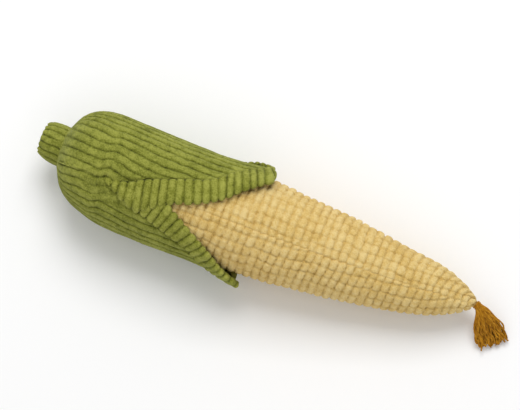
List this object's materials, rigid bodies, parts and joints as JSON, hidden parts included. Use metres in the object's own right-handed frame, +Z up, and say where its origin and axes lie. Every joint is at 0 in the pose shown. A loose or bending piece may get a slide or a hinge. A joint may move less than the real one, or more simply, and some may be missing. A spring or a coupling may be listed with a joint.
{
  "type": "corn cob soft toy",
  "caption": "Stuffed fabric toy shaped like a corn cob: kernel-patterned plush cob in a leafy corduroy husk, with a corduroy stem and a yarn tassel, lying on its side.",
  "frame": {"origin": "middle of the bounding box's base, on the surface that the toy lies on", "axes": "+X along the toy from the stem end to the tassel, +Z up; the husk's opening faces up and 22 degrees towards -Y"},
  "size_m": [0.4616, 0.1116, 0.0995],
  "materials": {
    "kernel_plush": "short pile plush quilted into rows of kernels",
    "husk_corduroy": "wide-wale corduroy, wales lengthwise",
    "band_corduroy": "wide-wale corduroy, wales across the edge",
    "ochre_yarn": "plied matte yarn",
    "filling": "loose fibre stuffing"
  },
  "bodies": {
    "root": {"cob_cover_upper": "kernel_plush", "cob_cover_lower": "kernel_plush", "cob_filling": "filling", "husk_panel_upper": "husk_corduroy", "husk_panel_lower": "husk_corduroy", "upper_leaf_band_front": "band_corduroy", "upper_leaf_band_back": "band_corduroy", "lower_leaf_band_front": "band_corduroy", "lower_leaf_band_back": "band_corduroy", "husk_base_filling": "filling", "stem_cover": "husk_corduroy", "stem_end_disc": "husk_corduroy", "stem_filling": "filling", "tassel_tie": "ochre_yarn", "tassel_yarns": "ochre_yarn"}
  },
  "joints": []
}
